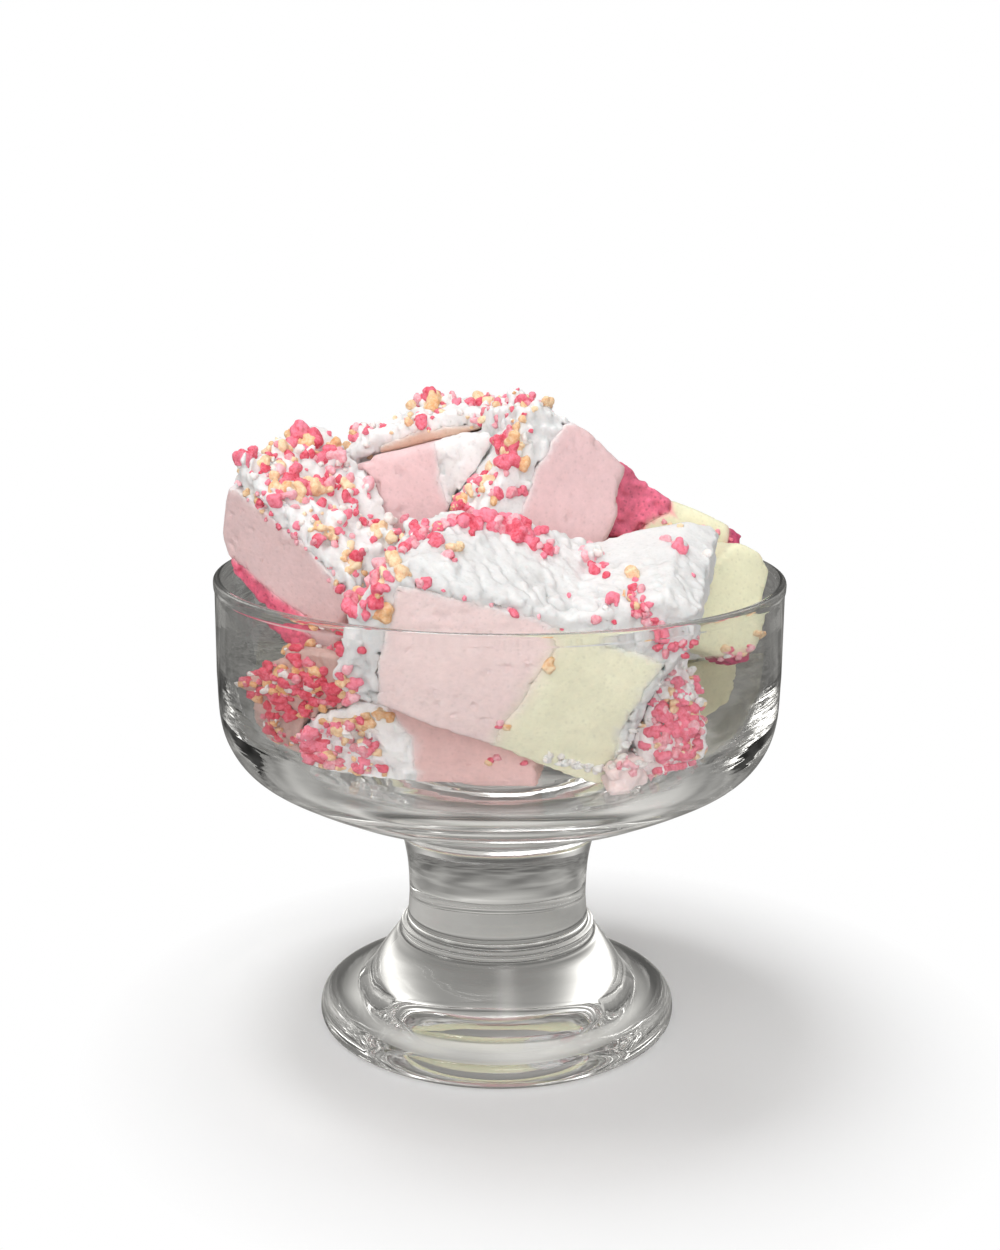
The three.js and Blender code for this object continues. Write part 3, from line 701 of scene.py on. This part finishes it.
def fused_crumbs(node):
    """Centres and radii of the crumbs fused to a packed coat. A crumb's free corners are those of an
    icosahedron: five short edges meet at each."""
    points, triangles = node_mesh(node)
    keys, index = np.unique(np.round(points, 2), axis=0, return_inverse=True)
    triangles = index.reshape(-1)[triangles]
    around = [set() for _ in keys]
    faces = np.zeros(len(keys), int)
    for triangle in triangles:
        for k in range(3):
            around[triangle[k]].update((triangle[k - 1], triangle[k - 2]))
            faces[triangle[k]] += 1
    free = {}
    for i, ring in enumerate(around):
        if faces[i] == 5 and len(ring) == 5:
            lengths = np.linalg.norm(keys[list(ring)] - keys[i], axis=1)
            least, most = lengths.min(), lengths.max()
            if FUSED_EDGES[0] < least and most < FUSED_EDGES[1] and most / least < FUSED_UNEVEN:
                free[i] = ring
    crumbs = []
    while free:
        group = set()
        queue = [next(iter(free))]
        while queue:
            i = queue.pop()
            if i in free:
                ring = free.pop(i)
                group |= ring | {i}
                queue += [j for j in ring if j in free]
        # the ball through the corners, by least squares
        at = keys[sorted(group)]
        rows = np.hstack([2 * at, np.ones((len(at), 1))])
        solved = np.linalg.lstsq(rows, (at**2).sum(1), rcond=None)[0]
        radius = math.sqrt(max(0.0, solved[3] + (solved[:3] ** 2).sum()))
        if FUSED_RADII[0] < radius < FUSED_RADII[1]:
            crumbs.append((solved[:3], radius))
    return crumbs


def base_ball():
    """Directions and triangles of a small icosphere."""
    ball = bmesh.new()
    bmesh.ops.create_icosphere(ball, subdivisions=2, radius=1)
    ball.verts.index_update()
    points = np.array([v.co[:] for v in ball.verts])
    faces = np.array([[v.index for v in f.verts] for f in ball.faces])
    ball.free()
    return points, faces


BALL = base_ball()


def unit_rows(rows):
    return rows / np.linalg.norm(rows, axis=1)[:, None]


def crumb_mesh(centre, radius, rng):
    """A small angular crumb: a ball cut by random planes, roughened and stretched."""
    directions, faces = BALL
    planes = unit_rows(rng.normal(size=(8, 3)))
    cuts = rng.uniform(0.62, 1.0, len(planes))
    reach = np.min(cuts / np.maximum(directions @ planes.T, 0.05), axis=1)
    reach = np.minimum(reach, 1.25) + 0.12 * rng.uniform(-1, 1, len(directions))
    stretch = rng.uniform(0.8, 1.2, 3)
    return centre + directions * (reach * radius)[:, None] * stretch, faces


def crumb_block(radius, rng, rough):
    """The distance block of a larger crumb, which is several broken grains stuck together and rough all
    over, and how many voxels it reaches from its middle."""
    n = int(math.ceil(radius * BLOCK_REACH / CRUMB_VOXEL)) + 1
    axis = np.arange(-n, n + 1, dtype=np.float32) * CRUMB_VOXEL
    at = np.stack(np.meshgrid(axis, axis, axis, indexing="ij"), axis=-1)
    field = np.full(at.shape[:3], OUTSIDE, np.float32)
    for grain in range(3 + int(GRAINS_PER_MM * radius)):
        core = grain == 0
        size = radius * (CORE_SIZE if core else rng.uniform(*GRAIN_SIZES))
        towards = unit_rows(rng.normal(size=(1, 3)))[0]
        middle = towards * (0 if core else radius * rng.uniform(*GRAIN_PLACES))
        local = at - middle.astype(np.float32)
        planes = unit_rows(rng.normal(size=(7, 3))).astype(np.float32)
        cuts = (size * rng.uniform(0.7, 1.05, len(planes))).astype(np.float32)
        ball = np.sqrt((local**2).sum(-1)) - size
        field = np.minimum(field, np.maximum(ball, (local @ planes.T - cuts).max(-1)))
    start = rng.integers(0, rough.shape[0] - 2 * n - 1, 3)
    window = tuple(slice(s, s + 2 * n + 1) for s in start)
    return field + CRUMB_ROUGHNESS * rough[window], n


class CrumbKind:
    """All crumbs of one colour: the larger ones share a distance grid, the small ones are balls."""

    def __init__(self):
        self.grid = openvdb.FloatGrid(CRUMB_BAND * CRUMB_VOXEL)
        self.grid.transform = openvdb.createLinearTransform(voxelSize=CRUMB_VOXEL)
        self.places = []
        self.shades = []
        self.small = []

    def add(self, chunk, centre, radius, rng, rough):
        """Adds a crumb; the chunk that it sticks to sets how light it can be, with painted shade or light
        for where that chunk lies.
        """
        self.places.append(centre)
        self.shades.append(rng.uniform(*CRUMB_SHADE_AND_PAINTED_LIGHT.get(chunk, SHADES_ELSEWHERE)))
        if radius < SMALLEST_CLUSTER:
            self.small.append(crumb_mesh(centre, radius, rng))
            return
        block, n = crumb_block(radius, rng, rough)
        low = tuple(int(round(c / CRUMB_VOXEL)) - n for c in centre)
        there = np.empty(block.shape, np.float32)
        self.grid.copyToArray(there, ijk=low)
        reach = CRUMB_BAND * CRUMB_VOXEL
        self.grid.copyFromArray(np.clip(np.minimum(block, there), -reach, reach), ijk=low)

    def mesh(self):
        """Points, triangles and each point's shade, which its nearest crumb gives."""
        points, triangles = joined([meshed(self.grid, 0.0)] + self.small)
        tree = KDTree(len(self.places))
        for index, place in enumerate(self.places):
            tree.insert(Vector(place), index)
        tree.balance()
        return points, triangles, np.array([self.shades[tree.find(Vector(p))[1]] for p in points])


def joined(meshes):
    """One mesh of several (points, triangles)."""
    points = np.vstack([p for p, _ in meshes])
    starts = np.cumsum([0] + [len(p) for p, _ in meshes[:-1]])
    return points, np.vstack([f + s for (_, f), s in zip(meshes, starts)])


def surface_samples(points, triangles, level, weight_at, count, rng):
    """Random places and normals on a piece's outer skin, more of them where `weight_at` is larger."""
    a, b, c = (points[triangles[:, k]] for k in range(3))
    normal = np.cross(b - a, c - a)
    area = np.linalg.norm(normal, axis=1)
    centre = (a + b + c) / 3
    outer = np.abs(level[triangles]).max(axis=1) < SKIN
    weight = area * outer * weight_at(centre)
    if weight.sum() <= 0:
        return []
    pick = rng.choice(len(triangles), size=count, p=weight / weight.sum())
    return [(centre[i], normal[i] / max(area[i], 1e-9)) for i in pick]


def picture_ray(x, y):
    """Where the camera is, in mm, and the direction of a pixel of the photograph."""
    eye = bpy.context.scene.camera
    width, height = PICTURE
    focal = eye.data.lens / eye.data.sensor_width * height   # the sensor spans the longer side
    right = (x - width / 2) / focal
    up = (height / 2 - y) / focal
    towards = eye.rotation_euler.to_matrix() @ Vector((right, up, -1))
    return Vector(eye.location) / MM, towards.normalized()


def search_tree(points, triangles):
    return BVHTree.FromPolygons(points.tolist(), triangles.tolist())


class Crumbs:
    """All the crumbs: it keeps them clear of the glass and of the chunks that they don't stick to."""

    def __init__(self, chunks, made):
        self.made = made
        self.kinds = {kind: CrumbKind() for kind in CRUMB_KINDS}
        self.rough = noise((60, 60, 60), CRUMB_VOXEL, 0.8, 77)
        self.trees = {chunk: [search_tree(*node_mesh(node)) for node in layers.values()]
                      for chunk, layers in chunks.items()}
        self.glass = search_tree(*node_mesh("glass_bowl"))

    def clear(self, chunk, at, radius):
        """Whether a crumb there stays out of the glass and mostly out of the other chunks."""
        others = [tree for name, group in self.trees.items() if name != chunk for tree in group]
        for tree, reach in [(tree, OTHERS_CLEAR * radius) for tree in others] + [(self.glass, radius)]:
            hit, normal, _, gap = tree.find_nearest(Vector(at), NEIGHBOURHOOD)
            if hit is not None and (gap < reach or (Vector(at) - hit).dot(normal) < 0):
                return False
        return True

    def add(self, kind, chunk, at, radius, rng):
        if self.clear(chunk, at, radius):
            self.kinds[kind].add(chunk, at, radius, rng, self.rough)

    def coat(self, chunk, node, rng):
        """The crumbs that are fused to a coat's solid, and small ones round them."""
        names = list(self.kinds)
        large = fused_crumbs(node)
        for at, radius in large:
            kind = rng.choice(names, p=FUSED_SHARES)
            self.kinds[kind].add(chunk, at, radius * FUSED_GROWTH, rng, self.rough)
        if not large:
            return
        hubs = np.array([at for at, _ in large])

        def weight_at(centre):
            gaps = np.linalg.norm(centre[:, None, :] - hubs[None], axis=2).min(axis=1)
            return np.exp(-((gaps / CRUMB_REACH) ** 2))

        points, triangles, level = self.made[chunk]["coat"]
        count = SMALL_CRUMBS.get(chunk, 0)
        least, most = SMALL_RADII
        for at, normal in surface_samples(points, triangles, level, weight_at, count, rng):
            radius = least + (most - least) * rng.uniform() ** SMALL_BIAS
            kind = rng.choice(names, p=SMALL_SHARES)
            self.add(kind, chunk, at + normal * radius * SMALL_RISE, radius, rng)

    def streak(self, skin, rng, chunk, line, width, count, radii, shares):
        """Crumbs along a line across the picture, on a chunk's skin."""
        line = np.array(line, float)
        for _ in range(count):
            k = rng.integers(0, len(line) - 1)
            along = line[k] + (line[k + 1] - line[k]) * rng.uniform()
            spot = along + rng.normal(size=2) * width * STREAK_SPREAD
            radius = rng.uniform(*radii)
            kind = rng.choice(list(self.kinds), p=shares)
            hit, normal, _, _ = skin.ray_cast(*picture_ray(*spot))
            if hit is not None:
                self.add(kind, chunk, np.array(hit + normal * radius * STREAK_RISE), radius, rng)

    def make_pieces(self):
        for kind, crumbs in self.kinds.items():
            points, triangles, shades = crumbs.mesh()
            obj = make_object(f"crumbs_{kind}", points, triangles.tolist())
            paint(obj, "shade", shades)
            obj.data.materials.append(crumb_material(kind, *CRUMB_KINDS[kind]))
            dress(obj, "coat")


def scatter_crumbs(chunks, made):
    crumbs = Crumbs(chunks, made)
    for number, (chunk, layers) in enumerate(sorted(chunks.items())):
        if "coat" in layers:
            crumbs.coat(chunk, layers["coat"], np.random.default_rng(700 + number))
    skins = {}
    rng = np.random.default_rng(900)
    for chunk, *streak in STREAKS:
        if chunk not in skins:
            skins[chunk] = search_tree(*joined([piece[:2] for piece in made[chunk].values()]))
        crumbs.streak(skins[chunk], rng, chunk, *streak)
    crumbs.make_pieces()


# ---- studio, in metres ----
FLOOR_HALF = 6.0       # half the floor's side
SHADOW_PATCH_GREY = 0.79      # painted shadow: the grey that the floor is painted round the object, under its cast shadow; it sets how dark the shadow is
NEAR = 0.048           # metres from the shadow's middle where the floor starts to fade to pure white
FAR = 0.088            # metres where it is pure white
SHADOW_MIDDLE = (0.010, -0.008, 0)
AIR_GAP = 0.0001       # between the floor and the foot, so that light turns at the foot's underside
FLOOR_BOUNCE = 0.5     # the floor's brightness as a light on matt things
ROOM_TINT = (1, 0.985, 0.94)
# What the glass shows of the floor, which glows: brightness by the distance from the bowl's axis, in
# metres; the dark ring at 0.030 to 0.035 m is a painted contact shadow under the foot's edge.
TABLE = [(0, 0.55), (0.026, 0.45), (0.030, 0.07), (0.035, 0.12), (0.043, 0.50), (0.09, 0.30),
         (0.2, 0.17)]
PATCHES = (0.6, 1.5)   # how much the table's brightness varies

# Soft light on matt things: ambient, then lights as (direction, strength, how narrow).
AMBIENT = 0.32
SOFT_LIGHTS = [((-0.12, -1, 0.22), 2.7, 3.2), ((-0.15, 0.1, 1), 0.35, 8)]

# What the glass shows: the room's brightness from the horizon (0) to overhead (1), and bright windows.
ROOM = [(0.0, 0.13), (0.10, 0.10), (0.25, 0.17), (0.5, 0.3), (0.8, 0.5), (1.0, 0.8)]
WINDOWS = [((-0.85, -0.40, 0.35), 5, 120), ((0.80, -0.55, 0.30), 4, 180), ((0.15, -0.85, 0.80), 3, 90),
           ((-0.55, 0.75, 0.45), 2.5, 60), ((0.60, 0.70, 0.60), 2, 60), ((-0.62, 0.78, 0.06), 0.5, 40),
           ((0.55, 0.83, 0.08), 0.45, 40)]

# The light that casts the shadow.
KEY_AT = (-0.12, 0.03, 0.85)
KEY_TARGET = (0, 0, 0.06)
KEY_SIZE = 0.3
KEY_POWER = 2.1        # watts

# The photograph's camera.
CAMERA_AT = (-0.0004, -0.3135, 0.14883)
LOOKS_DOWN = 0.2243    # radians
ROLL = math.radians(-0.4)
LENS = 49.62           # mm, on Blender's sensor of 36 mm

GLASS_BOUNCES = 21     # light turns many times inside the thick glass
ALL_BOUNCES = 25


def math_node(nodes, links, operation, first, second):
    """A maths node; each input is a socket or a number."""
    node = nodes.new("ShaderNodeMath")
    node.operation = operation
    for slot, value in enumerate((first, second)):
        if isinstance(value, (int, float)):
            node.inputs[slot].default_value = value
        else:
            links.new(value, node.inputs[slot])
    return node.outputs["Value"]


def lobes(nodes, links, direction, base, lights):
    """Base brightness plus soft round lights, as seen in a direction."""
    total = base
    for towards, strength, power in lights:
        dot = nodes.new("ShaderNodeVectorMath")
        dot.operation = "DOT_PRODUCT"
        links.new(direction, dot.inputs[0])
        dot.inputs[1].default_value = Vector(towards).normalized()
        near = math_node(nodes, links, "MAXIMUM", dot.outputs["Value"], 0.0)
        near = math_node(nodes, links, "POWER", near, float(power))
        near = math_node(nodes, links, "MULTIPLY", near, float(strength))
        total = math_node(nodes, links, "ADD", near, total)
    return total


def chosen(nodes, links, factor, off, on):
    """One of two shaders, or a mixture."""
    mix = nodes.new("ShaderNodeMixShader")
    links.new(factor, mix.inputs[0])
    links.new(off, mix.inputs[1])
    links.new(on, mix.inputs[2])
    return mix.outputs[0]


def glowing(nodes, links, kind, strength, tint=(1, 1, 1)):
    """An emission or background shader; its strength is a socket or a number."""
    node = nodes.new(kind)
    node.inputs["Color"].default_value = (*tint, 1)
    if isinstance(strength, (int, float)):
        node.inputs["Strength"].default_value = strength
    else:
        links.new(strength, node.inputs["Strength"])
    return node.outputs[0]


def grey_ramp(nodes, links, source, stops):
    """A grey that follows (place, level) stops, with places from 0 to 1."""
    ramp = nodes.new("ShaderNodeValToRGB")
    while len(ramp.color_ramp.elements) < len(stops):
        ramp.color_ramp.elements.new(0.5)
    for element, (place, level) in zip(ramp.color_ramp.elements, stops):
        element.position = place
        element.color = (level, level, level, 1)
    links.new(source, ramp.inputs["Fac"])
    return ramp.outputs["Color"]


def by_ray(nodes, links, camera_sees, glass_shows, lights_matt):
    """The shader for each kind of ray: from the camera, from the glass and from a matt thing."""
    path = nodes.new("ShaderNodeLightPath")
    matt = math_node(nodes, links, "GREATER_THAN", path.outputs["Diffuse Depth"], 0.5)
    other = chosen(nodes, links, matt, glass_shows, lights_matt)
    return chosen(nodes, links, path.outputs["Is Camera Ray"], other, camera_sees)


def floor():
    """White, with the object's soft cast shadow, deepened by painted shadow: the floor is painted grey
    round it, fading to the background's white. Matt things get an even light back from it, and the glass
    shows it as a dim, uneven table that glows, with a painted contact shadow round the foot."""
    half = FLOOR_HALF
    mesh = bpy.data.meshes.new("floor")
    corners = [(-half, -half), (half, -half), (half, half), (-half, half)]
    mesh.from_pydata([(x, y, -AIR_GAP) for x, y in corners], [], [(0, 1, 2, 3)])
    obj = linked("floor", mesh)
    material, nodes, links, shader = new_material("floor")
    shader.inputs["Base Color"].default_value = (SHADOW_PATCH_GREY, SHADOW_PATCH_GREY, SHADOW_PATCH_GREY, 1)
    shader.inputs["Roughness"].default_value = 0.9
    shader.inputs["Specular IOR Level"].default_value = 0.0
    place = nodes.new("ShaderNodeTexCoord")
    away = nodes.new("ShaderNodeVectorMath")
    away.operation = "DISTANCE"
    links.new(place.outputs["Object"], away.inputs[0])
    away.inputs[1].default_value = SHADOW_MIDDLE
    # Painted shadow: round the shadow's middle the floor is grey, which deepens the cast shadow; further
    # out it glows pure white.
    fade = mapped(nodes, links, away.outputs["Value"], NEAR, FAR, 0, 1)
    white = glowing(nodes, links, "ShaderNodeEmission", 1.0)
    direct = chosen(nodes, links, fade, shader.outputs[0], white)
    middle = nodes.new("ShaderNodeVectorMath")
    middle.operation = "LENGTH"
    links.new(place.outputs["Object"], middle.inputs[0])
    edge = TABLE[-1][0]
    outwards = math_node(nodes, links, "DIVIDE", middle.outputs["Value"], edge)
    # The glass sees the floor as a glow, with a painted contact shadow round the foot.
    table = grey_ramp(nodes, links, outwards, [(radius / edge, level) for radius, level in TABLE])
    cloudy = texture(nodes, links, "ShaderNodeTexNoise", 26, Detail=1.0)
    patches = mapped(nodes, links, cloudy.outputs["Fac"], 0.35, 0.65, *PATCHES)
    uneven = math_node(nodes, links, "MULTIPLY", table, patches)
    dim = glowing(nodes, links, "ShaderNodeEmission", uneven, ROOM_TINT)
    bounce = glowing(nodes, links, "ShaderNodeEmission", FLOOR_BOUNCE)
    links.new(by_ray(nodes, links, direct, dim, bounce), nodes["Material Output"].inputs["Surface"])
    obj.data.materials.append(material)


def world():
    """White behind the object, soft light all round for matt things, and a dim room for the glass."""
    studio = bpy.data.worlds.new("studio")
    bpy.context.scene.world = studio
    studio.use_nodes = True
    nodes = studio.node_tree.nodes
    links = studio.node_tree.links
    nodes.clear()
    output = nodes.new("ShaderNodeOutputWorld")
    place = nodes.new("ShaderNodeTexCoord")
    direction = place.outputs["Generated"]
    axes = nodes.new("ShaderNodeSeparateXYZ")
    links.new(direction, axes.inputs[0])
    walls = grey_ramp(nodes, links, axes.outputs["Z"], ROOM)
    room = lobes(nodes, links, direction, walls, WINDOWS)
    soft = lobes(nodes, links, direction, AMBIENT, SOFT_LIGHTS)
    seen = glowing(nodes, links, "ShaderNodeBackground", 1.0)
    glassy = glowing(nodes, links, "ShaderNodeBackground", room, ROOM_TINT)
    lighting = glowing(nodes, links, "ShaderNodeBackground", soft)
    links.new(by_ray(nodes, links, seen, glassy, lighting), output.inputs["Surface"])


def key_light():
    """A soft light overhead, a little to the left, which casts the shadow."""
    data = bpy.data.lights.new("key", "AREA")
    data.shape = "RECTANGLE"
    data.size = data.size_y = KEY_SIZE
    data.energy = KEY_POWER
    obj = linked("key", data)
    obj.location = KEY_AT
    obj.rotation_euler = (Vector(KEY_TARGET) - Vector(KEY_AT)).to_track_quat("-Z", "Y").to_euler()


def camera():
    """The photograph's view, fitted to the ellipses of the rim and the foot."""
    data = bpy.data.cameras.new("camera")
    data.lens = LENS
    data.clip_start = 0.01
    obj = linked("camera", data)
    obj.location = CAMERA_AT
    obj.rotation_euler = (math.pi / 2 - LOOKS_DOWN, ROLL, 0)
    bpy.context.scene.camera = obj


def render_settings():
    """What the glass needs of Cycles, and plain colours."""
    scene = bpy.context.scene
    scene.view_settings.view_transform = "Standard"
    scene.cycles.blur_glossy = 0   # so that the glass lets its full share of light in to the candy
    scene.cycles.glossy_bounces = GLASS_BOUNCES
    scene.cycles.transmission_bounces = GLASS_BOUNCES
    scene.cycles.max_bounces = ALL_BOUNCES


def build():
    render_settings()
    camera()
    floor()
    world()
    key_light()
    glass_bowl()
    materials = {
        "coat": candy_material("coat", grain=0.05, blotches=0.02, pore_shade_level=0.92, scatter=0.2),
        "pink": candy_material("pink", grain=0.07, blotches=0.03, pore_shade_level=0.91, scatter=0.2),
        "cream": candy_material("cream", grain=0.05, blotches=0.04, pore_shade_level=0.90, scatter=0.2),
        "berry": candy_material("berry", grain=0.25, blotches=0.22, pore_shade_level=0.65, scatter=0.1),
    }
    chunks = chunk_layers()
    made = {}
    for number, (chunk, layers) in enumerate(sorted(chunks.items())):
        made[chunk] = chunk_pieces(chunk, layers, 100 * (number + 1), materials)
    scatter_crumbs(chunks, made)


build()
